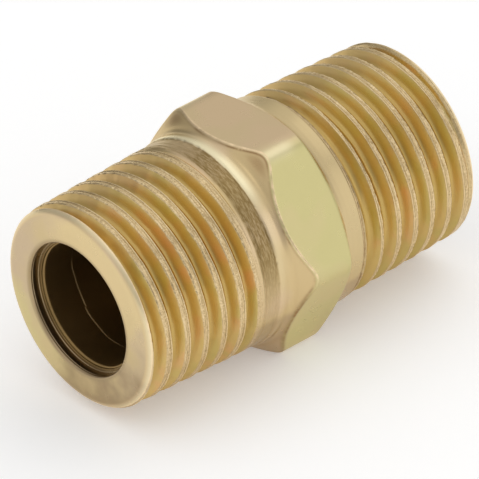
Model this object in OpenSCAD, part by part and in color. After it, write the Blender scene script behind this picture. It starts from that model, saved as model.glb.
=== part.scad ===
// Hex nipple: a short pipe fitting turned from one piece of hexagon bar.
// It has a tapered male pipe thread on each end, a hexagon for the spanner in the
// middle and a bore right through. There is nothing inside it and nothing moves.
//
// Frame: the bore lies along X, the origin is on its axis at mid length, and two of
// the hexagon's flats face straight up (+Z) and straight down (-Z). Millimetres.

/* [Body] */
// Length over both end faces
overall_len = 26.4; // [25:0.1:32]
// Diameter of the plain collar between each thread and the hexagon
collar_dia = 13.7; // [13.7:0.1:14]
// How far each collar reaches from mid length
collar_reach = 3.6; // [3:0.1:4.2]
// Length of the chamfer on the outer edge of each end face
end_chamfer = 0.55; // [0.3:0.05:0.8]

/* [Hexagon] */
// Width across the flats, for a 9/16 inch spanner
hex_af = 14.3; // [14:0.1:17]
// Diameter over the corners, which are turned down a little
hex_corner_dia = 16.2; // [15.8:0.1:16.4]
// Where the corner edges start on the front (-X) side, from mid length
hex_front = 1.0; // [0.6:0.1:1.6]
// Where the corner edges end on the back (+X) side, from mid length
hex_back = 1.5; // [0.6:0.1:1.6]
// Slope of the front chamfer, as an angle from the axis
front_chamfer_angle = 45; // [40:1:65]
// Slope of the back chamfer, as an angle from the axis
back_chamfer_angle = 60; // [40:1:65]

/* [Thread] */
// Pitch, 18 threads to the inch
thread_pitch = 1.411; // [1.337:0.001:1.411]
// Crest diameter where the thread leaves the collar
thread_dia = 13.6; // [13.2:0.1:13.6]
// Depth from crest to root
thread_depth = 0.65; // [0.5:0.05:0.7]
// Width of the flat on each crest
crest_width = 0.5; // [0.3:0.01:0.5]
// Length over which the diameter grows by 1 mm
taper_ratio = 16; // [14:1:20]
// Angle between each flank and a plane across the axis
flank_angle = 30; // [27.5:0.5:30]

/* [Bore] */
// Diameter of the through bore
bore_dia = 8.0; // [6:0.1:8.2]
// Diameter of the shallow counterbore in each mouth
mouth_dia = 8.5; // [8.4:0.1:8.8]
// Depth of the counterbore
mouth_depth = 0.8; // [0.4:0.1:1.5]
// Diameter of the mouth's eased edge, at the end face
lip_dia = 9.0; // [8.9:0.1:9.4]
// Depth of the mouth's eased edge
lip_depth = 0.25; // [0.1:0.05:0.35]

/* [Hidden] */

ROUND = 96;         // facets of a previewed circle
SEGMENTS = 40;      // straight steps in one turn of thread
OVERRUN = 1;        // how far a cutter passes the surface it cuts
ROOTED = 1.2;       // how far each thread starts inside the hexagon, from mid length

half_len = overall_len / 2;
collar_r = collar_dia / 2;
corner_r = hex_corner_dia / 2;
thread_r = thread_dia / 2;
taper_slope = 1 / (2 * taper_ratio);
end_crest_r = thread_r - (half_len - collar_reach) * taper_slope;
front_rise = (corner_r - collar_r) / tan(front_chamfer_angle);
back_rise = (corner_r - collar_r) / tan(back_chamfer_angle);
flank_width = thread_depth * tan(flank_angle);
thread_turns = ceil((half_len + OVERRUN - ROOTED) / thread_pitch) + 1;

// Thread crest radius at a distance from mid length; inside the collar it stays the same
function crest_r(x) = thread_r - max(0, x - collar_reach) * taper_slope;

// One pitch of the thread's outline: [distance along the axis, depth below the crest]
THREAD_OUTLINE = [
    [0, 0],
    [crest_width, 0],
    [crest_width + flank_width, thread_depth],
    [thread_pitch - flank_width, thread_depth]
];
OUTLINE_POINTS = len(THREAD_OUTLINE);
THREAD_STEPS = thread_turns * SEGMENTS;

// Point of the outline carried round the helix, right-handed about +Z
function thread_point(step, corner) =
    let (
        angle = 360 * step / SEGMENTS,
        along = ROOTED + thread_pitch * step / SEGMENTS + THREAD_OUTLINE[corner][0],
        r = crest_r(along) - THREAD_OUTLINE[corner][1]
    )
    [r * cos(angle), r * sin(angle), along];

function thread_index(step, corner) = step * OUTLINE_POINTS + corner;

// Two triangles for a quad that is given clockwise as seen from outside
function quad(a, b, c, d) = [[a, b, c], [a, c, d]];

// Triangles from an apex to each edge of a list of points
function fan(apex, rim) = [for (i = [0 : len(rim) - 2]) [apex, rim[i], rim[i + 1]]];

// Solid screw of constant outline whose diameter shrinks along +Z. Its sides are the
// outline's strips, each turn is joined to the next, and a fan closes each end.
module tapered_screw() {
    points = [for (s = [0 : THREAD_STEPS]) for (c = [0 : OUTLINE_POINTS - 1]) thread_point(s, c)];
    low_apex = len(points);
    high_apex = low_apex + 1;
    last = OUTLINE_POINTS - 1;

    strips = [
        for (s = [0 : THREAD_STEPS - 1]) for (c = [0 : last - 1])
            each quad(thread_index(s, c), thread_index(s, c + 1),
                      thread_index(s + 1, c + 1), thread_index(s + 1, c))
    ];
    joins = [
        for (s = [0 : THREAD_STEPS - SEGMENTS - 1])
            each quad(thread_index(s, last), thread_index(s + SEGMENTS, 0),
                      thread_index(s + SEGMENTS + 1, 0), thread_index(s + 1, last))
    ];
    low_rim = [
        for (c = [0 : last]) thread_index(0, c),
        for (s = [SEGMENTS : -1 : 0]) thread_index(s, 0)
    ];
    high_rim = [
        for (s = [THREAD_STEPS - SEGMENTS : THREAD_STEPS]) thread_index(s, last),
        for (c = [last - 1 : -1 : 0]) thread_index(THREAD_STEPS, c),
        thread_index(THREAD_STEPS - SEGMENTS, last)
    ];

    polyhedron(
        points = concat(points, [
            [0, 0, ROOTED + thread_pitch / 2],
            [0, 0, ROOTED + thread_pitch * (thread_turns + 0.5)]
        ]),
        faces = concat(strips, joins, fan(low_apex, low_rim), fan(high_apex, high_rim)),
        convexity = 10
    );
}

// Outer limit of one end: a plain bar, chamfered at the end face
module end_envelope() {
    rotate_extrude($fn = ROUND)
        polygon([
            [0, ROOTED + thread_pitch],
            [corner_r, ROOTED + thread_pitch],
            [corner_r, half_len - end_chamfer - (corner_r - end_crest_r)],
            [end_crest_r - end_chamfer, half_len],
            [0, half_len]
        ]);
}

// One threaded end, standing on the origin and pointing along +Z
module threaded_end() {
    intersection() {
        tapered_screw();
        end_envelope();
    }
}

// Cutter for one mouth: the counterbore and the eased edge at the end face
module mouth_cutter() {
    rotate_extrude($fn = ROUND)
        polygon([
            [0, half_len - mouth_depth],
            [mouth_dia / 2, half_len - mouth_depth],
            [mouth_dia / 2, half_len - lip_depth],
            [lip_dia / 2, half_len],
            [lip_dia / 2, half_len + OVERRUN],
            [0, half_len + OVERRUN]
        ]);
}

// Hexagon with a chamfer on both sides, and the collars on both sides of it
module hexagon() {
    intersection() {
        rotate([0, 0, 30])
            cylinder(d = hex_af / cos(30), h = overall_len, $fn = 6, center = true);
        rotate_extrude($fn = ROUND)
            polygon([
                [0, -collar_reach],
                [collar_r, -collar_reach],
                [collar_r, -hex_front - front_rise],
                [corner_r, -hex_front],
                [corner_r, hex_back],
                [collar_r, hex_back + back_rise],
                [collar_r, collar_reach],
                [0, collar_reach]
            ]);
    }
}

// Turns a shape that points along +Z to point along +X
module along_x() {
    rotate([0, 90, 0]) children();
}

module hex_nipple() {
    color("#cfc08c")
        along_x()
            difference() {
                union() {
                    hexagon();
                    threaded_end();
                    rotate([0, 180, 0]) threaded_end();
                }
                cylinder(d = bore_dia, h = overall_len + 2 * OVERRUN, center = true, $fn = ROUND);
                mouth_cutter();
                rotate([0, 180, 0]) mouth_cutter();
            }
}

hex_nipple();
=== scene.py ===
import math

import bpy
import numpy as np
from mathutils import Matrix, Vector


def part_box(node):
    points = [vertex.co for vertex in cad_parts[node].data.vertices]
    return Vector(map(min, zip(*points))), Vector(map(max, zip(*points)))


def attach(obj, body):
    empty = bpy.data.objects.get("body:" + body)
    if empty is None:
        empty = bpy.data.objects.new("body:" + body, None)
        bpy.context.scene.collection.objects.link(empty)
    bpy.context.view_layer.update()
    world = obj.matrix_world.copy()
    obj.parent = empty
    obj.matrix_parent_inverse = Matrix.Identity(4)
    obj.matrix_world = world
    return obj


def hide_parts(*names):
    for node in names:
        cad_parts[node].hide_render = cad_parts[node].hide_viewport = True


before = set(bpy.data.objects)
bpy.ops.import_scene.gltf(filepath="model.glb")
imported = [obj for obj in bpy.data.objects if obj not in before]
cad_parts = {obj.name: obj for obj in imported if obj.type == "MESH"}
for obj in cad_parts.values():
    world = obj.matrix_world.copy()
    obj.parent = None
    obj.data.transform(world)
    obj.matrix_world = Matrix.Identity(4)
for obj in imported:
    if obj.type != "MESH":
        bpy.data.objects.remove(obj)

# Everything below is worked out in millimetres, with x along the bore and phi the angle round it,
# right-handed about +X from +Y. The mesh is written in metres.
MM = 0.001
NODE = "hex_nipple"
cad_low, cad_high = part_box(NODE)
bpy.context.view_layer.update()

# ---------------------------------------------------------------- driving sizes

HALF_LEN = cad_high[0] / MM
BURR = 0.012                          # height of the burrs that stand on the flats' edges
FLAT = cad_high[2] / MM - BURR        # from the axis to a hexagon flat, without its burrs
CORNER_ROUND = 1.0                    # radius of the hexagon's six corner edges
CORNER_STEP = math.radians(60)
CORNER_BLEND = math.radians(4)        # on each side of a corner, where one flat turns into the next
FLAT_TINTS = (0.35, 0.0, 1.0, 1.0, 0.2, 0.8)    # 0 pink, 1 green, from the flat at 30 degrees on

PITCH = 1.411
TAPER = 1 / 32                        # growth of the radius along the axis
CREST_R = 6.8                         # crest radius at CREST_X from mid length
CREST_X = 3.6
THREAD_DEPTH = 0.64
FLANK = THREAD_DEPTH * math.tan(math.radians(30))
CREST_HALF_END = 0.20                 # half width of a crest at the end face
FRONT_HALF_HEX = 0.25                 # and beside the hexagon, where the front die cut less deeply
BACK_HALF_HEX = 0.10                  # and the back die more deeply
CREST_CHANGE = (4.2, 7.4)             # the width changes between these distances from mid length
FACING = math.radians(140.9)          # the azimuth at which the crest positions below hold
FRONT_CREST_X = -4.73
BACK_CREST_X = 5.02
FRONT_RUNOUT = (-4.95, -4.25)         # the groove fades out between these two
BACK_RUNOUT = (3.98, 3.76)
FRONT_LAND = (0.34, 0.44)             # and between these two distances from the end face
BACK_LAND = (0.55, 0.85)

BORE_R = 4.0
LIP_R = 4.50                          # where the face turns into the mouth
LIP_ROUND = 0.18
MOUTH_DEPTH = 0.93                    # where the mouth's steps end and the plain bore begins
TOOL_MARK_X = 10.12                   # a fine ring that the drill left in the bore, from mid length
FRONT_MARK, BACK_MARK = 0.02375, 0.00125    # depth of that ring: a score near the front, faint near the back
FACE_ROUND = (0.38, 0.72)             # the end's eased edge, along the axis and along the radius
END_R = 6.42                          # radius where that easing meets the thread
RIM = 0.32                            # how far the torn burr on that easing lies from the end face

COLUMNS = 480
PHI = FACING + np.linspace(-math.pi, math.pi, COLUMNS, endpoint=False)

# ---------------------------------------------------------------- noise


def lattice(ix, iy, iz, seed):
    """A repeatable random value from 0 to 1 at each whole-numbered point."""
    h = (ix * 374761393 + iy * 668265263 + iz * 1274126177 + seed * 974634777) & 0xFFFFFFFF
    h = ((h ^ (h >> 13)) * 1103515245) & 0xFFFFFFFF
    h = ((h ^ (h >> 16)) * 2246822519) & 0xFFFFFFFF
    return ((h ^ (h >> 15)) & 0xFFFFFF) / float(0xFFFFFF)


def noise(u, v, w, seed):
    """Smooth value noise from -1 to 1 in three dimensions, one cell per unit."""
    u, v, w = np.broadcast_arrays(u, v, w)
    iu, iv, iw = (np.floor(a).astype(np.int64) for a in (u, v, w))
    fu, fv, fw = u - iu, v - iv, w - iw
    fu, fv, fw = (f * f * (3 - 2 * f) for f in (fu, fv, fw))
    total = 0
    for du in (0, 1):
        for dv in (0, 1):
            for dw in (0, 1):
                weight = (fu if du else 1 - fu) * (fv if dv else 1 - fv) * (fw if dw else 1 - fw)
                total = total + weight * lattice(iu + du, iv + dv, iw + dw, seed)
    return 2 * total - 1


def smooth(t):
    t = np.clip(t, 0, 1)
    return t * t * (3 - 2 * t)


def ramp(a, b, x):
    """0 at a, 1 at b, smooth between; a may be above b."""
    return smooth((x - a) / (b - a))


def soft_min(a, b, k):
    """The lower of two surfaces, rounded over a width k."""
    h = np.clip(0.5 + 0.5 * (b - a) / k, 0, 1)
    return b * (1 - h) + a * h - k * h * (1 - h)


def bump(x, width):
    return np.exp(-((x / width) ** 2))


# ---------------------------------------------------------------- turned profile

VALLEY_X, VALLEY_R, VALLEY_ROUND = -2.5, 6.87, 0.55   # hollow that the form tool left beside the hexagon


def valley(x):
    return VALLEY_R + VALLEY_ROUND - math.sqrt(VALLEY_ROUND ** 2 - (x - VALLEY_X) ** 2)


# The turned shape without thread: (x, radius) from the front thread to the back thread.
FRONT_PROFILE = [
    (-HALF_LEN, 6.72), (-4.30, 6.72), (-4.20, 6.75), (-3.12, 6.77), (-3.07, 6.86), (-2.80, 6.885),
    *((x, valley(x)) for x in (-2.5, -2.4, -2.3, -2.2, -2.1, -2.0)),
    (-1.0, 8.2), (-0.6, 8.6),
]
BACK_PROFILE = [
    (0.9, 9.4), (1.5, 8.2), (2.02, 7.22), (2.2, 7.02), (2.4, 6.95), (2.8, 6.89), (3.2, 6.865), (3.56, 6.86),
    (3.60, 6.78), (3.72, 6.74), (HALF_LEN, 6.74),
]
PROFILE_ROUND = 0.06                  # how far a corner of the outline is eased
FINE = 0.01
# Fine rings round the axis: (place, width, height)
BAND_RINGS = ((-4.20, 0.035, 0.024), (-4.09, 0.03, -0.024), (-3.98, 0.03, 0.0144), (-3.72, 0.05, -0.012))
BACK_RINGS = ((3.62, 0.03, -0.03), (3.76, 0.03, -0.02))
PAINTED_EDGE_LINES = ((3.70, 0.03, 1.0), (3.63, 0.035, -1.0), (3.78, 0.03, -1.0))    # painted highlight and painted shade lines of fine steps, in the colour only


def rounded_profile(points, x):
    """The outline through the points, with its corners eased."""
    fine = np.arange(points[0][0] - 1, points[-1][0] + 1, FINE)
    r = np.interp(fine, [p[0] for p in points], [p[1] for p in points])
    kernel = bump(np.arange(-20, 21) * FINE, PROFILE_ROUND)
    eased = np.convolve(r, kernel / kernel.sum(), mode="same")
    return np.interp(np.clip(x, points[0][0], points[-1][0]), fine, eased)


def ringed(x, rings):
    """The sum of these rings at x."""
    return sum(height * bump(x - place, width) for place, width, height in rings)


def hex_radius(phi):
    """The hexagon's outline, with its round corners running softly into the flats."""
    shares = (1, 2, 3, 2, 1)
    turns = np.linspace(-CORNER_BLEND, CORNER_BLEND, len(shares))
    return sum(share * hex_outline(phi + turn) for share, turn in zip(shares, turns)) / sum(shares)


def from_corner(phi):
    """Angle from the hexagon's nearest corner. The first corner is at 0."""
    return (phi + CORNER_STEP / 2) % CORNER_STEP - CORNER_STEP / 2


def hex_outline(phi):
    """Distance from the axis to a hexagon whose corners are round."""
    off = np.abs(from_corner(phi))
    centre = (FLAT - CORNER_ROUND) / math.cos(CORNER_STEP / 2)
    tangent = math.atan2(CORNER_ROUND * 0.5, centre + CORNER_ROUND * math.cos(CORNER_STEP / 2))
    on_flat = FLAT / np.cos(CORNER_STEP / 2 - off)
    inside = np.maximum(CORNER_ROUND ** 2 - (centre * np.sin(off)) ** 2, 0)
    return np.where(off < tangent, centre * np.cos(off) + np.sqrt(inside), on_flat)


# ---------------------------------------------------------------- thread


def helix(x, phi, crest_x):
    """(distance along the axis from the nearest crest's middle, length along the helix)."""
    turns = (phi - FACING) / (2 * math.pi)
    n = np.round((x - crest_x) / PITCH - turns)
    off = x - crest_x - PITCH * (n + turns)
    return off, (n + turns) * 2 * math.pi * CREST_R


def thread(x, phi, crest_x, half_hex, runout, end_land, outward, seed):
    """Radius of a threaded end, and masks of its torn crests, burrs and grooves; the burr mask also carries a
    painted highlight on burrs and lips and painted shade in folds.
    """
    off, along = helix(x, phi, crest_x)
    off = off * outward                       # now positive towards the end face
    half = half_hex + (CREST_HALF_END - half_hex) * ramp(*CREST_CHANGE, np.abs(x))
    half = half + 0.02 * noise(along / 1.7, 0, 0, seed)
    edge_out = half + 0.02 * noise(along / 0.6, 0, 0, seed + 1)
    edge_in = half + 0.008 * noise(along / 0.9, 0, 0, seed + 3)
    # Each flank goes straight down from the crest's edge and turns into a round root.
    down = np.maximum(off - edge_out, -off - edge_in) / FLANK
    depth = soft_min(THREAD_DEPTH * np.maximum(down, 0), THREAD_DEPTH, 0.3)
    # The groove fades out beside the hexagon, and before a plain land at the end face.
    land = ramp(end_land[1], end_land[0], HALF_LEN - np.abs(x))
    fade = ramp(runout[1], runout[0], x) * (1 - land)

    on_crest = ramp(0.06, -0.03, down)
    pits = noise(along / 0.18, off / 0.07, 0, seed + 4) + 0.7 * noise(along / 0.40, off / 0.11, 0, seed + 5)
    streak = noise(along / 2.2, off / 0.07, 0, seed + 6)
    inner = off + edge_in
    burr = bump(inner - 0.04, 0.03)
    fold = bump(inner - 0.11, 0.028) * (0.8 + 0.5 * noise(along / 0.9, 0, 0, seed + 7))
    bites = ramp(0.1, 0.55, noise(along / 0.17, 0, 0, seed + 2)) * bump(edge_out - off, 0.055)
    lip = bump(edge_out - off - 0.07, 0.035) * (0.6 + 0.6 * noise(along / 0.5, 0, 0, seed + 8))
    relief = 0.009 * pits + 0.012 * streak + 0.030 * burr - 0.020 * fold + 0.026 * lip - 0.05 * bites
    crest = CREST_R - (np.abs(x) - CREST_X) * TAPER
    masks = {
        "torn": np.maximum(on_crest * fade, 0.7 * land),
        "burr": np.clip(burr + 0.8 * lip - 1.2 * fold, -1, 1) * fade,
        "groove": ramp(0.0, 0.08, down) * fade,
        "root": ramp(0.35, 1.0, down) * fade,
        "across": off,
    }
    return crest - depth * fade + on_crest * relief * fade, masks


def end_easing(x):
    """The eased outer edge of an end face, as the largest radius allowed at x."""
    along, across = FACE_ROUND
    t = np.clip(1 - (HALF_LEN - np.abs(x)) / along, 0, 1)
    inward = HALF_LEN - np.abs(x) - along     # past the easing, the limit opens out like a cone
    return END_R - across * (1 - np.sqrt(1 - t * t)) + np.maximum(inward, 0) * 2


def around(phi):
    """Where phi points, as y and z on a circle of the crests' radius, for noise that has no seam."""
    return np.cos(phi) * CREST_R, np.sin(phi) * CREST_R


def runout_band(x):
    """1 on the band beside the front thread, where the die stopped."""
    return ramp(-4.38, -4.24, x) * ramp(-3.06, -3.12, x)


def front_shape(x, phi):
    """The turned shape from the front thread to the hexagon, with notches, scuffs and rings on the band."""
    y, z = around(phi)
    notches = 0.05 * ramp(0.3, 0.7, noise(0, y / 0.22, z / 0.22, 21))
    shape = rounded_profile(FRONT_PROFILE, x - notches * bump(x + 3.09, 0.10))
    scuffs = 0.6 * noise(x / 0.5, y / 0.12, z / 0.12, 22) + noise(x / 0.08, y / 0.25, z / 0.25, 23)
    turned = 0.6 * noise(x / 0.07, y / 4, z / 4, 25)
    return shape + (0.006 * scuffs + ringed(x, BAND_RINGS) + 0.024 * turned) * runout_band(x)


def edge_roughness(x, phi):
    """How torn an edge is here, about 1 on average."""
    y, z = around(phi)
    return 1 + 0.6 * noise(x / 0.22, y / 0.22, z / 0.22, 24) + 0.5 * noise(x / 0.09, y / 0.09, z / 0.09, 26)


def edge_light_and_shade(x, phi, over, rough):
    """Mask of painted light on the hexagon's front edges: above 0 a painted highlight, below 0 painted shade.
    """
    y, z = around(phi)
    line = bump(over + 0.01, 0.07) * (1.1 * rough - 0.1)
    broken = ramp(-0.3, 0.4, noise(x / 0.9, y / 0.9, z / 0.9, 27))
    line = line - 1.7 * bump(over - 0.13, 0.055) * ramp(0.1, 1.0, rough) * (0.3 + 0.7 * broken)
    below = ramp(0.1, -0.3, np.sin(phi))      # the edges that face down get painted shade instead of a painted highlight
    line = line * (1 - below) - 1.4 * bump(over, 0.15) * below * (0.6 + 0.4 * rough)
    # Painted shade on the chamfer under the upper corners.
    corner_shade = at_corner(phi, 0.13) * facing_up(phi) * ramp(0.05, 0.4, over) * ramp(-2.1, -1.7, x)
    return line * ramp(-2.3, -2.0, x) * ramp(0.9, 0.3, x) - corner_shade


def highlight_places(x, phi):
    """Mask of a painted highlight on the shoulder beside the runout band, strongest where it faces up, and on
    the upper corners.
    """
    shoulder = ramp(-3.12, -3.05, x) * ramp(-2.1, -2.85, x) ** 1.5
    height = np.sin(phi)
    shoulder = shoulder * (0.2 * ramp(-0.3, 0.2, height) + 0.8 * ramp(0.62, 0.86, height))
    corner = 0.6 * at_corner(phi, 0.055) * ramp(1.3, 0.2, x) * ramp(-1.6, -0.9, x)
    return np.maximum(shoulder, corner * facing_up(phi))


def at_corner(phi, width):
    """1 on the hexagon's corner edges, over a width in radians."""
    return bump(from_corner(phi), width)


def facing_up(phi):
    return ramp(0.3, 0.7, np.sin(phi))


def flat_tint(phi):
    """Each flat's own place between pink and green, running over into the next at the corners."""
    corners = CORNER_STEP * np.arange(len(FLAT_TINTS) + 1)
    edges = np.repeat(corners, 2) + np.tile((-CORNER_BLEND, CORNER_BLEND), len(corners))
    tints = np.repeat(FLAT_TINTS[-1:] + FLAT_TINTS + FLAT_TINTS[:1], 2)[1:-1]
    return np.interp(phi % (2 * math.pi), edges, tints)


def outer_surface(x, phi):
    """Radius and masks of the outside, at every x and phi of a grid."""
    front_r, front_masks = thread(x, phi, FRONT_CREST_X, FRONT_HALF_HEX, FRONT_RUNOUT, FRONT_LAND, -1, 30)
    back_r, back_masks = thread(x, phi, BACK_CREST_X, BACK_HALF_HEX, BACK_RUNOUT, BACK_LAND, 1, 50)
    masks = {name: np.where(x < 0, front_masks[name], back_masks[name]) for name in front_masks}

    # The middle: a hexagon that the turned shapes cut on both sides, with burrs on its front edges.
    rough = edge_roughness(x, phi)
    hexagon = hex_radius(phi)
    front = front_shape(x, phi)
    over = hexagon - front                    # positive where the front chamfer is below the flat
    at_edge = ramp(-2.3, -2.0, x) * rough
    front = front - 0.008 * bump(over - 0.10, 0.045) * at_edge
    body = soft_min(hexagon, front, 0.08)
    body = body + 0.006 * bump(over + 0.01, 0.05) * at_edge * ramp(0.9, 0.3, x)
    body = soft_min(body, rounded_profile(BACK_PROFILE, x) + ringed(x, BACK_RINGS), 0.28)

    in_front = x < FRONT_RUNOUT[1] - 0.02
    in_back = x > BACK_RUNOUT[1] + 0.02
    radius = np.where(in_front, front_r, np.where(in_back, back_r, body))

    # The ends: an eased edge with a torn burr on it, which cuts the threads off.
    from_face = HALF_LEN - np.abs(x)
    rim = bump(from_face - RIM, 0.055) * (0.4 + 0.6 * rough)
    limit = end_easing(x) + 0.03 * rim
    uncut = ramp(0.02, -0.02, radius - limit)
    for name in ("torn", "burr", "groove", "root"):
        masks[name] = masks[name] * uncut
    masks["band"] = runout_band(x)
    # The edge mask carries painted highlights and painted shade: on the hexagon's front edges, along the
    # rim's burr, and in the fine lines at the back collar.
    masks["edge"] = edge_light_and_shade(x, phi, over, rough) + 0.9 * rim + ringed(x, PAINTED_EDGE_LINES) * rough
    # A painted highlight along the eased edge of each end and its burr.
    rim_highlight = 0.5 * bump(from_face - 0.22, 0.10) + 0.6 * rim
    masks["highlight_paint"] = highlight_places(x, phi) + rim_highlight * (1 - uncut)
    masks["tint"] = flat_tint(phi)
    masks["flat"] = ramp(0.16, 0.04, np.abs(hexagon - body)) * ramp(2.5, 2.1, np.abs(x))
    return np.minimum(radius, limit), masks


# ---------------------------------------------------------------- mesh

SNAP = 0.012                          # rows closer than this to the end of a thread are joined to it
MIDDLE = (-4.2, 3.77)                 # the plain rings between the two threads lie between these


def crest_rows():
    """Where the mesh rows of one pitch lie from its crest's middle, closest at the crest's edges."""
    foot, shoulder, top = -0.62, -0.36, -0.14     # the flank runs from foot to shoulder, the edge on to top
    flank = np.linspace(foot, shoulder, 5)[:-1]
    edge = np.linspace(shoulder, top, 11)
    half = np.concatenate([[-PITCH / 2], flank, edge])
    crest = np.linspace(top, -top, 9)[1:-1]
    return np.concatenate([half, crest, -half[:0:-1]])


def middle_stations():
    """Where the mesh rings between the two threads lie, closest where the shape is finest."""
    ends = (MIDDLE[0], -2.2, -0.7, 1.2, 3.4, MIDDLE[1])
    steps = (0.045, 0.035, 0.12, 0.07, 0.03)
    spans = zip(ends, ends[1:], steps)
    return np.concatenate([np.arange(low, high - step / 2, step) for low, high, step in spans] + [MIDDLE[1:]])


def mouth_profile():
    """(x, radius) from the flat face into the bore, for the +X mouth: three shallow steps."""
    arc = np.linspace(0, math.pi / 2, 6)
    lip = [(LIP_ROUND * (1 - math.cos(a)), LIP_R - LIP_ROUND * math.sin(a)) for a in arc]
    steps = [
        (0.20, 4.365), (0.23, 4.36), (0.24, 4.345), (0.27, 4.34), (0.38, 4.34), (0.50, 4.34), (0.62, 4.34),
        (0.69, 4.335), (0.70, 4.31), (0.70, 4.26), (0.715, 4.245), (0.70, 4.23), (0.70, 4.18),
        (0.715, 4.165), (0.70, 4.15), (0.71, 4.12), (0.76, 4.115), (0.84, 4.11), (0.86, 4.09),
        (0.86, 4.05), (0.88, 4.02), (MOUTH_DEPTH, BORE_R),
    ]
    return [(HALF_LEN - depth, r) for depth, r in lip + steps]


def bore_stations():
    """Half of the bore's rings, from its middle outwards."""
    deepest = HALF_LEN - MOUTH_DEPTH - 0.1
    near_mark = TOOL_MARK_X + np.linspace(-0.14, 0.14, 13)
    return np.concatenate([np.arange(0.5, TOOL_MARK_X - 0.5, 0.8), near_mark, [11.0, deepest]])


def tool_mark(bore_x):
    """A slightly wavy ring near each end of the bore, clearest on the side that faces down and +Y."""
    side = (np.degrees(PHI) + 180) % 360 - 180
    wave = 0.06 * noise(PHI * 4, 0, 0, 71)
    mark = bump(np.abs(bore_x)[:, None] - TOOL_MARK_X - wave, 0.03)
    return mark * (0.2 + 0.8 * ramp(-100, -85, side) * ramp(12, 2, side))


class Shell:
    """One closed surface, collected as rows of vertices at (x, phi). Their radius is worked out later."""

    def __init__(self):
        self.x, self.phi, self.quads, self.triangles = [], [], [], []
        self.count = 0

    def rings(self, stations):
        """Rings of constant x. Returns their vertex numbers, one row a ring."""
        x = np.repeat(np.asarray(stations, float)[:, None], COLUMNS, axis=1)
        return self.rows(x)

    def rows(self, x):
        """Vertices at these x, a row of them round the axis. Returns their numbers."""
        index = self.count + np.arange(x.size).reshape(x.shape)
        self.x.append(x.ravel())
        self.phi.append(np.broadcast_to(PHI, x.shape).ravel())
        self.count += x.size
        return index

    def places(self):
        """x and phi of every vertex so far."""
        return np.concatenate(self.x), np.concatenate(self.phi)

    def join(self, index):
        """Quads between neighbouring rings."""
        right = np.roll(index, -1, axis=1)
        self.quads.append(np.stack([index[:-1], right[:-1], right[1:], index[1:]], axis=-1).reshape(-1, 4))

    def threaded(self, crest_x, low, high, low_ring, high_ring):
        """Rows that follow the thread between two rings, which the outermost of them run into."""
        offsets = crest_rows()
        turns = np.arange(math.floor((low - crest_x) / PITCH) - 2, math.ceil((high - crest_x) / PITCH) + 3)
        base = (crest_x + PITCH * turns[:, None] + offsets[None, :]).ravel()
        x = base[:, None] + PITCH * (PHI - FACING)[None, :] / (2 * math.pi)
        index = self.rows(x)
        index = np.where(x < low + SNAP, low_ring, index)
        index = np.where(x > high - SNAP, high_ring, index)
        # One turn on, a row meets the row one pitch further along.
        seam = np.concatenate([index[len(offsets):, :1], np.full((len(offsets), 1), high_ring[0])])
        right = np.concatenate([index[:, 1:], seam], axis=1)
        a, b, c, d = (v.ravel() for v in (index[:-1], right[:-1], right[1:], index[1:]))
        left_closed, right_closed = a == d, b == c
        whole = ~left_closed & ~right_closed
        self.quads.append(np.stack([a, b, c, d], axis=-1)[whole])
        self.triangles.append(np.stack([a, b, c], axis=-1)[left_closed & ~right_closed])
        self.triangles.append(np.stack([a, b, d], axis=-1)[right_closed & ~left_closed])


def add_outside(shell):
    """The threads, the hexagon and the eased ends. Returns the rings at the front face and the back face."""
    round_part = FACE_ROUND[0] * (1 - np.cos(np.linspace(0, math.radians(70), 8)))
    easing = np.concatenate([round_part, np.linspace(round_part[-1], FACE_ROUND[0], 6)[1:]])
    front_end = shell.rings(-HALF_LEN + easing)
    middle = shell.rings(middle_stations())
    back_end = shell.rings((HALF_LEN - easing)[::-1])
    shell.join(front_end)
    shell.threaded(FRONT_CREST_X, -HALF_LEN + easing[-1], MIDDLE[0], front_end[-1], middle[0])
    shell.join(middle)
    shell.threaded(BACK_CREST_X, MIDDLE[1], HALF_LEN - easing[-1], middle[-1], back_end[0])
    shell.join(back_end)
    return front_end[0], back_end[-1]


def face_radii(rim):
    """Radii of the rings on an end face, from the ring at its rim to its mouth."""
    steps = np.linspace(0, 1, 8)[1:-1, None]
    return rim * (1 - steps) + LIP_R * steps


def inside_masks(x, r):
    """Masks of the end faces, and of the mouths and the bore, which get painted shade."""
    from_face = HALF_LEN - np.abs(x)
    in_mouth = r < LIP_R
    return {
        "face": ramp(0.10, 0.04, from_face) * (r > LIP_R - 0.05),
        "mouth": ramp(LIP_R + 0.22, LIP_R - 0.1, r),
        "ledge": ramp(4.33, 4.30, r) * in_mouth * (np.abs(x) > HALF_LEN - MOUTH_DEPTH),
        "bore": np.maximum(ramp(4.20, 4.14, r), ramp(0.86, MOUTH_DEPTH, from_face)) * in_mouth,
    }


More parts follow.
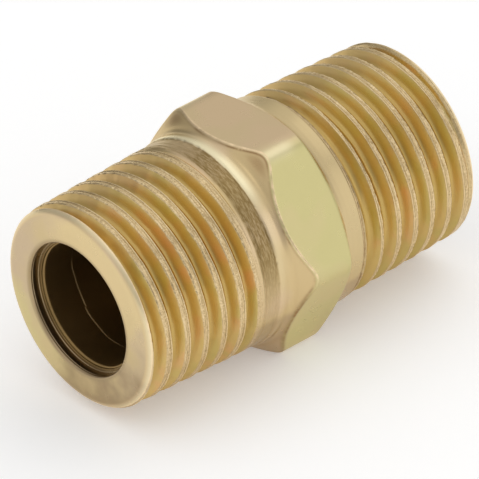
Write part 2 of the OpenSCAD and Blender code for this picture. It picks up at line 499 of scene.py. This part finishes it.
def nipple_mesh():
    """One closed mesh: out along the outside, down the back face and home through the bore."""
    shell = Shell()
    front_rim, back_rim = add_outside(shell)
    r_out, masks = outer_surface(*shell.places())

    # The faces, the mouths and the bore are rings whose radius is known.
    back_face = face_radii(r_out[back_rim])
    front_face = face_radii(r_out[front_rim])[::-1]
    mouth = np.array(mouth_profile())
    mouth_x, mouth_r = mouth[:, 0], np.repeat(mouth[:, 1:], COLUMNS, axis=1)
    half_bore = bore_stations()
    bore_x = np.concatenate([half_bore[::-1], -half_bore])
    mark = tool_mark(bore_x)
    bore_r = BORE_R - np.where(bore_x < 0, FRONT_MARK, BACK_MARK)[:, None] * mark
    face_x = np.full(len(back_face), HALF_LEN)
    inner = shell.rings(np.concatenate([face_x, mouth_x, bore_x, -mouth_x[::-1], -face_x]))
    inner_r = np.concatenate([back_face, mouth_r, bore_r, mouth_r[::-1], front_face])
    shell.join(np.concatenate([[back_rim], inner, [front_rim]]))

    x, phi = shell.places()
    r = np.concatenate([r_out, inner_r.ravel()])
    points = np.stack([x, r * np.cos(phi), r * np.sin(phi)], axis=-1) * MM
    masks = {name: np.concatenate([mask, np.zeros(inner_r.size)]) for name, mask in masks.items()}
    masks.update(inside_masks(x, r))
    score = np.zeros(inner_r.shape)
    first = len(back_face) + len(mouth)
    score[first:first + len(bore_x)] = mark * (bore_x < 0)[:, None]
    masks["score"] = np.concatenate([np.zeros(r_out.size), score.ravel()])
    return build_mesh(points, np.concatenate(shell.quads), np.concatenate(shell.triangles), masks)


def build_mesh(points, quads, triangles, masks):
    """A Blender mesh of these faces, without the vertices that no face uses."""
    used, loops = np.unique(np.concatenate([quads.ravel(), triangles.ravel()]), return_inverse=True)
    starts = np.concatenate([np.arange(len(quads)) * 4, quads.size + np.arange(len(triangles)) * 3])
    mesh = bpy.data.meshes.new(NODE + "_detail")
    mesh.vertices.add(len(used))
    mesh.vertices.foreach_set("co", points[used].ravel())
    mesh.loops.add(len(loops))
    mesh.loops.foreach_set("vertex_index", loops.ravel())
    mesh.polygons.add(len(starts))
    mesh.polygons.foreach_set("loop_start", starts)
    mesh.polygons.foreach_set("use_smooth", np.ones(len(starts), dtype=bool))
    mesh.update(calc_edges=True)
    for name, mask in masks.items():
        mesh.attributes.new(name, "FLOAT", "POINT").data.foreach_set("value", mask[used])
    return mesh


# ---------------------------------------------------------------- material


class Nodes:
    """Short calls for the nodes of one material. An input is a number, a colour or a socket."""

    def __init__(self, tree):
        self.tree = tree

    def put(self, socket, value):
        if isinstance(value, bpy.types.NodeSocket):
            self.tree.links.new(value, socket)
        elif isinstance(value, tuple) and len(value) == 3 and socket.type == "RGBA":
            socket.default_value = (*value, 1)
        else:
            socket.default_value = value

    def math(self, operation, a, b):
        node = self.tree.nodes.new("ShaderNodeMath")
        node.operation = operation
        self.put(node.inputs[0], a)
        self.put(node.inputs[1], b)
        return node.outputs[0]

    def add(self, a, b):
        return self.math("ADD", a, b)

    def times(self, a, b):
        return self.math("MULTIPLY", a, b)

    def span(self, value, low, high, to_low=0.0, to_high=1.0):
        """to_low at low, to_high at high, smooth between; low may be above high."""
        node = self.tree.nodes.new("ShaderNodeMapRange")
        node.interpolation_type = "SMOOTHSTEP"
        for name, v in (("Value", value), ("From Min", low), ("From Max", high),
                        ("To Min", to_low), ("To Max", to_high)):
            self.put(node.inputs[name], v)
        return node.outputs["Result"]

    def mask(self, name):
        node = self.tree.nodes.new("ShaderNodeAttribute")
        node.attribute_name = name
        return node.outputs["Fac"]

    def mix(self, factor, a, b):
        """Colour a at factor 0 or below, b at 1 or above."""
        node = self.tree.nodes.new("ShaderNodeMix")
        node.data_type = "RGBA"
        node.clamp_factor = True
        sockets = {socket.identifier: socket for socket in (*node.inputs, *node.outputs)}
        for name, value in (("Factor_Float", factor), ("A_Color", a), ("B_Color", b)):
            self.put(sockets[name], value)
        return sockets["Result_Color"]

    def vector(self, x, y, z):
        node = self.tree.nodes.new("ShaderNodeCombineXYZ")
        for socket, v in zip(node.inputs, (x, y, z)):
            self.put(socket, v)
        return node.outputs[0]

    def noise(self, place, scale, detail=2.0, roughness=0.5):
        node = self.tree.nodes.new("ShaderNodeTexNoise")
        self.put(node.inputs["Vector"], place)
        self.put(node.inputs["Scale"], scale)
        self.put(node.inputs["Detail"], detail)
        self.put(node.inputs["Roughness"], roughness)
        return node.outputs["Fac"]


# Colours of the bare and the plated metal: on the flats and turned parts, in the grooves with painted shade
# in their roots, on the torn crests, painted shade on the low side, the end faces with painted light and
# shade, painted highlights and shade, and painted shade in the mouths and the bore.
PINK = (0.70, 0.525, 0.32)
GREEN = (0.60, 0.535, 0.25)
BRASSY = (0.66, 0.50, 0.26)
GOLD = (0.67, 0.48, 0.175)
ORANGE = (0.71, 0.45, 0.185)
OLIVE = (0.60, 0.475, 0.155)
THIN = (0.69, 0.475, 0.21)
# Painted shade for the roots of the grooves.
ROOT_SHADE = (0.54, 0.36, 0.11)
TORN = (0.66, 0.49, 0.26)
TORN_DARK = (0.38, 0.26, 0.11)
TORN_LIGHT = (0.86, 0.68, 0.40)
# Painted shade for the low side of the turned parts.
LOW_SHADE = (0.48, 0.345, 0.205)
CREAM = (0.63, 0.49, 0.26)
FACE_PINK = (0.58, 0.445, 0.295)
FACE_LIGHT = (0.73, 0.57, 0.305)
GREENISH = (0.64, 0.54, 0.26)
FACE_LOW_SHADE = (0.36, 0.255, 0.14)
RUNOUT = (0.27, 0.18, 0.065)
# Painted highlight colour for the shoulder, the upper corners and the end rims.
PAINTED_HIGHLIGHT = (0.92, 0.81, 0.53)
EDGE_HIGHLIGHT = (0.98, 0.75, 0.47)
EDGE_SHADE = (0.32, 0.19, 0.085)
# Painted shade: the mouths and their ledges are darkened, and the bore's darker film is darkened further with
# painted shade.
MOUTH_SHADE = (0.34, 0.25, 0.14)
LEDGE_SHADE = (0.21, 0.145, 0.07)
BORE_FILM_AND_SHADE = (0.30, 0.195, 0.075)
SCORE = (0.75, 0.60, 0.36)
# How an end face's colour changes across it, with painted light towards the upper right and painted shade low
# down: (direction in y and z), start, full, share, colour
FACE_SHADES = [
    ((-0.6, 0.8), 0.5, 5.0, 0.9, FACE_LIGHT),
    ((1.0, 0.2), 1.5, 5.5, 0.9, FACE_PINK),
    ((0.7, -0.7), 3.0, 6.0, 0.9, GREENISH),
    ((-0.8, -0.6), 3.0, 6.0, 0.7, FACE_PINK),
    ((-0.3, -0.95), 2.5, 6.0, 0.9, FACE_LOW_SHADE),
]
RELIEF = 0.01                         # height in mm of the relief that is only in the material


class Surface(Nodes):
    """The nodes of the part's own material, which know the place on the part in millimetres."""

    def __init__(self, tree):
        super().__init__(tree)
        split = tree.nodes.new("ShaderNodeSeparateXYZ")
        self.put(split.inputs[0], tree.nodes.new("ShaderNodeTexCoord").outputs["Object"])
        self.x, self.y, self.z = (self.times(s, 1 / MM) for s in split.outputs)
        self.place = self.vector(self.x, self.y, self.z)

    def blotches(self, scale, detail=2.0, roughness=0.5):
        """Noise that is alike in every direction."""
        return self.noise(self.place, scale, detail, roughness)

    def streaks(self, across, fine, coarse, detail=2.0, roughness=0.5):
        """Noise of a fine scale along the socket across, and drawn out round the axis."""
        drawn = (self.times(across, fine), self.times(self.y, coarse), self.times(self.z, coarse))
        return self.noise(self.vector(*drawn), 1.0, detail, roughness)


def plain_colour(n):
    """Flats and turned parts. The film drifts between pink and green, some places get a painted highlight,
    and the low side gets painted shade.
    """
    drift = n.span(n.blotches(0.30, 1.0), 0.35, 0.65, -0.2, 0.2)
    flats = n.mix(n.add(n.mask("tint"), drift), PINK, GREEN)
    turned = n.mix(n.span(n.blotches(0.22, 1.0), 0.40, 0.60), BRASSY, PINK)
    turned = n.mix(n.span(n.x, 1.2, 2.2), turned, CREAM)
    # Painted shade: the turned parts darken towards the low side.
    height = n.add(n.z, n.times(n.blotches(0.8, 1.0), 0.6))
    turned = n.mix(n.span(height, -2.0, -2.7, 0.0, 0.8), turned, LOW_SHADE)
    return n.mix(n.mask("highlight_paint"), n.mix(n.mask("flat"), turned, flats), PAINTED_HIGHLIGHT)


def groove_colour(n):
    """Grooves hold the thickest film, in patches of gold, orange and olive, thinner towards +Y, with painted
    shade in the roots.
    """
    patch = n.blotches(0.45, 2.0)
    film = n.mix(n.span(patch, 0.48, 0.64), GOLD, ORANGE)
    shade = n.add(n.streaks(n.x, 0.56, 0.35, 1.0), n.span(n.x, -1.0, 1.0, 0.0, 0.08))
    film = n.mix(n.span(shade, 0.48, 0.68, 0.0, 0.8), film, OLIVE)
    thin = n.span(n.add(n.y, n.times(patch, 3.0)), -0.5, 4.0, 0.0, 0.7)
    return n.mix(n.times(n.mask("root"), 0.8), n.mix(thin, film, THIN), ROOT_SHADE)


def crest_colour(n, speck, streak):
    """Crests are torn metal: pale, speckled, and streaked along the thread, with a painted highlight along
    the burrs and painted shade in the folds.
    """
    burr = n.mask("burr")
    crest = n.mix(n.span(streak, 0.53, 0.64, 0.0, 0.5), TORN, TORN_LIGHT)
    crest = n.mix(n.span(streak, 0.47, 0.36, 0.0, 0.5), crest, TORN_DARK)
    crest = n.mix(n.span(speck, 0.53, 0.60, 0.0, 0.7), crest, TORN_DARK)
    crest = n.mix(n.span(speck, 0.42, 0.36, 0.0, 0.7), crest, TORN_LIGHT)
    # Painted highlight along the burrs and lips, painted shade in the folds.
    crest = n.mix(n.times(burr, 0.8), crest, TORN_LIGHT)
    return n.mix(n.times(burr, -0.8), crest, TORN_DARK)


def face_colour(n):
    """The end faces are cream and pink, with painted light towards the upper right and painted shade low
    down.
    """
    blotch = n.add(n.times(n.blotches(0.45, 3.0), 7.0), -3.5)
    colour = CREAM
    for (to_y, to_z), start, full, share, tint in FACE_SHADES:
        towards = n.add(n.add(n.times(n.y, to_y), n.times(n.z, to_z)), blotch)
        colour = n.mix(n.span(towards, start, full, 0.0, share), colour, tint)
    return colour


def worn_band(n, scuff):
    """How brown the runout band is: most where it is scuffed, high up and towards -Y."""
    scuffed = n.span(scuff, 0.35, 0.60, 0.6, 1.0)
    sideways = n.span(n.y, 1.5, -1.0, 0.4, 1.0)
    upwards = n.span(n.z, -1.5, 2.5, 0.25, 1.0)
    return n.times(n.mask("band"), n.times(n.times(scuffed, sideways), upwards))


def fine_relief(n, speck, streak, scuff):
    """Height in parts of RELIEF: turning marks, grain, and the tears of the crests and of the band."""
    turned = n.math("SUBTRACT", 1.0, n.mask("flat"))
    relief = n.times(n.streaks(n.x, 18.0, 0.3), n.times(turned, 0.25))
    relief = n.add(relief, n.times(n.blotches(14.0, 2.0, 0.6), 0.10))
    relief = n.add(relief, n.times(n.mask("torn"), n.add(n.times(speck, 0.6), n.times(streak, 0.7))))
    return n.add(relief, n.times(n.mask("band"), n.times(scuff, 1.2)))


def plated_steel():
    """Yellow chromate on zinc: one metal whose film, painted highlights and painted shade, and roughness
    follow the masks of the mesh.
    """
    material = bpy.data.materials.new("yellow_plated_steel")
    material.use_nodes = True
    tree = material.node_tree
    shader = tree.nodes["Principled BSDF"]
    n = Surface(tree)
    speck = n.blotches(9.0, 3.0, 0.7)
    streak = n.streaks(n.mask("across"), 13.0, 0.8)
    scuff = n.streaks(n.x, 11.0, 2.0, 3.0, 0.7)

    colour = plain_colour(n)
    layers = [
        (n.mask("groove"), groove_colour(n)),
        (n.mask("torn"), crest_colour(n, speck, streak)),
        (worn_band(n, scuff), RUNOUT),
        # Painted highlight and painted shade along the edges, the rims and the fine collar lines.
        (n.times(n.mask("edge"), 0.8), EDGE_HIGHLIGHT),
        (n.times(n.mask("edge"), -0.6), EDGE_SHADE),
        (n.mask("face"), face_colour(n)),
        # Painted shade in the mouths, on their ledges and down the bore.
        (n.times(n.mask("mouth"), 0.75), MOUTH_SHADE),
        (n.mask("ledge"), LEDGE_SHADE),
        (n.mask("bore"), BORE_FILM_AND_SHADE),
        (n.mask("score"), SCORE),
    ]
    for mask, paint in layers:
        colour = n.mix(mask, colour, paint)

    roughness = n.add(0.24, n.times(n.blotches(1.3, 3.0), 0.10))
    for name, extra in (("torn", -0.03), ("band", 0.04), ("groove", 0.03), ("bore", 0.15)):
        roughness = n.add(roughness, n.times(n.mask(name), extra))

    bumped = tree.nodes.new("ShaderNodeBump")
    bumped.inputs["Strength"].default_value = 1.0
    bumped.inputs["Distance"].default_value = RELIEF * MM
    tree.links.new(fine_relief(n, speck, streak, scuff), bumped.inputs["Height"])

    tree.links.new(colour, shader.inputs["Base Color"])
    tree.links.new(roughness, shader.inputs["Roughness"])
    tree.links.new(bumped.outputs[0], shader.inputs["Normal"])
    shader.inputs["Metallic"].default_value = 1.0
    shader.inputs["Specular Tint"].default_value = (1.0, 0.93, 0.77, 1)
    shader.inputs["Coat Weight"].default_value = 0.15
    shader.inputs["Coat Roughness"].default_value = 0.2
    return material


# ---------------------------------------------------------------- stage


def camera():
    """A long lens that looks down on the front end and along the part."""
    azimuth, elevation, roll = math.radians(50.73), math.radians(32.24), math.radians(4.2)
    focal, sensor, distance = 601.6, 36.0, 481.8
    aim_right, aim_up = 0.228, 0.98       # where the origin lies from the picture's centre, in mm
    forward = Vector((math.cos(elevation) * math.cos(azimuth), math.cos(elevation) * math.sin(azimuth),
                      -math.sin(elevation)))
    level_up = (Vector((0, 0, 1)) - forward * -math.sin(elevation)).normalized()
    level_right = forward.cross(level_up)
    up = level_up * math.cos(roll) + level_right * math.sin(roll)
    right = forward.cross(up)
    place = -forward * distance - right * aim_right - up * aim_up
    data = bpy.data.cameras.new("camera")
    data.lens, data.sensor_width = focal, sensor
    data.clip_end = 10
    obj = bpy.data.objects.new("camera", data)
    turn = Matrix((right, up, -forward)).transposed().to_4x4()
    obj.matrix_world = Matrix.Translation(place * MM) @ turn
    bpy.context.collection.objects.link(obj)
    bpy.context.scene.camera = obj


ROOM = 0.82                           # brightness of the plain room
# Its darker parts: (direction, cosine where the shade starts, cosine where it is full, loss)
DARK_SIDES = [
    ((-0.30, 0.90, 0.30), 0.75, 0.95, 0.36),
    ((0.35, 0.93, 0.05), 0.78, 0.95, 0.28),
    ((-0.90, -0.42, 0.08), 0.72, 0.95, 0.18),
    ((-0.62, -0.78, 0.02), 0.86, 0.97, 0.24),
    ((-0.10, -0.93, 0.38), 0.90, 0.98, 0.20),
    ((0.98, 0.00, 0.00), 0.82, 0.96, 0.18),
]
# Its lights: (name, direction, distance, width, height, brightness), in metres
SOFTBOXES = [
    ("overhead", (0.52, -0.05, 0.86), 0.5, 0.40, 0.25, 0.27),
    ("front_top", (-0.60, -0.15, 0.78), 0.5, 0.22, 0.22, 0.28),
    ("side", (0.54, -0.79, 0.30), 0.6, 0.40, 0.40, 0.25),
]


def softbox(name, towards, distance, width, height, brightness):
    """A rectangular light in a direction from the part, of an even brightness over its face."""
    data = bpy.data.lights.new(name, "AREA")
    data.shape = "RECTANGLE"
    data.size, data.size_y = width, height
    data.energy = brightness * math.pi * width * height
    obj = bpy.data.objects.new(name, data)
    aim = Vector(towards).normalized()
    obj.location = aim * distance
    obj.rotation_euler = aim.to_track_quat("Z", "Y").to_euler()
    bpy.context.collection.objects.link(obj)


def lay_floor():
    """A plain pale floor that the part's lowest flat rests on."""
    bpy.ops.mesh.primitive_plane_add(size=4, location=(0, 0, cad_low[2]))
    floor = bpy.context.object
    floor.name = "floor"
    material = bpy.data.materials.new("pale_floor")
    material.use_nodes = True
    shader = material.node_tree.nodes["Principled BSDF"]
    shader.inputs["Base Color"].default_value = (0.95, 0.95, 0.95, 1)
    shader.inputs["Roughness"].default_value = 0.9
    shader.inputs["Emission Color"].default_value = (1, 1, 1, 1)
    shader.inputs["Emission Strength"].default_value = 0.25
    floor.data.materials.append(material)


def light_room():
    """A white room, darker towards some sides, which gives the rounded metal its shading."""
    world = bpy.data.worlds.new("studio")
    world.use_nodes = True
    world.node_tree.nodes["Background"].inputs["Color"].default_value = (1, 1, 1, 1)
    n = Nodes(world.node_tree)
    towards = world.node_tree.nodes.new("ShaderNodeTexCoord").outputs["Generated"]
    strength = ROOM
    for direction, outer, inner, loss in DARK_SIDES:
        facing = world.node_tree.nodes.new("ShaderNodeVectorMath")
        facing.operation = "DOT_PRODUCT"
        facing.inputs[1].default_value = Vector(direction).normalized()
        world.node_tree.links.new(towards, facing.inputs[0])
        strength = n.add(n.span(facing.outputs["Value"], outer, inner, 0.0, -loss), strength)
    world.node_tree.links.new(strength, world.node_tree.nodes["Background"].inputs["Strength"])
    bpy.context.scene.world = world
    for box in SOFTBOXES:
        softbox(*box)
    bpy.context.scene.view_settings.view_transform = "Standard"


camera()
lay_floor()
light_room()

nipple = bpy.data.objects.new(NODE + "_detail", nipple_mesh())
bpy.context.collection.objects.link(nipple)
nipple.data.materials.append(plated_steel())
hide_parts(NODE)
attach(nipple, "root")
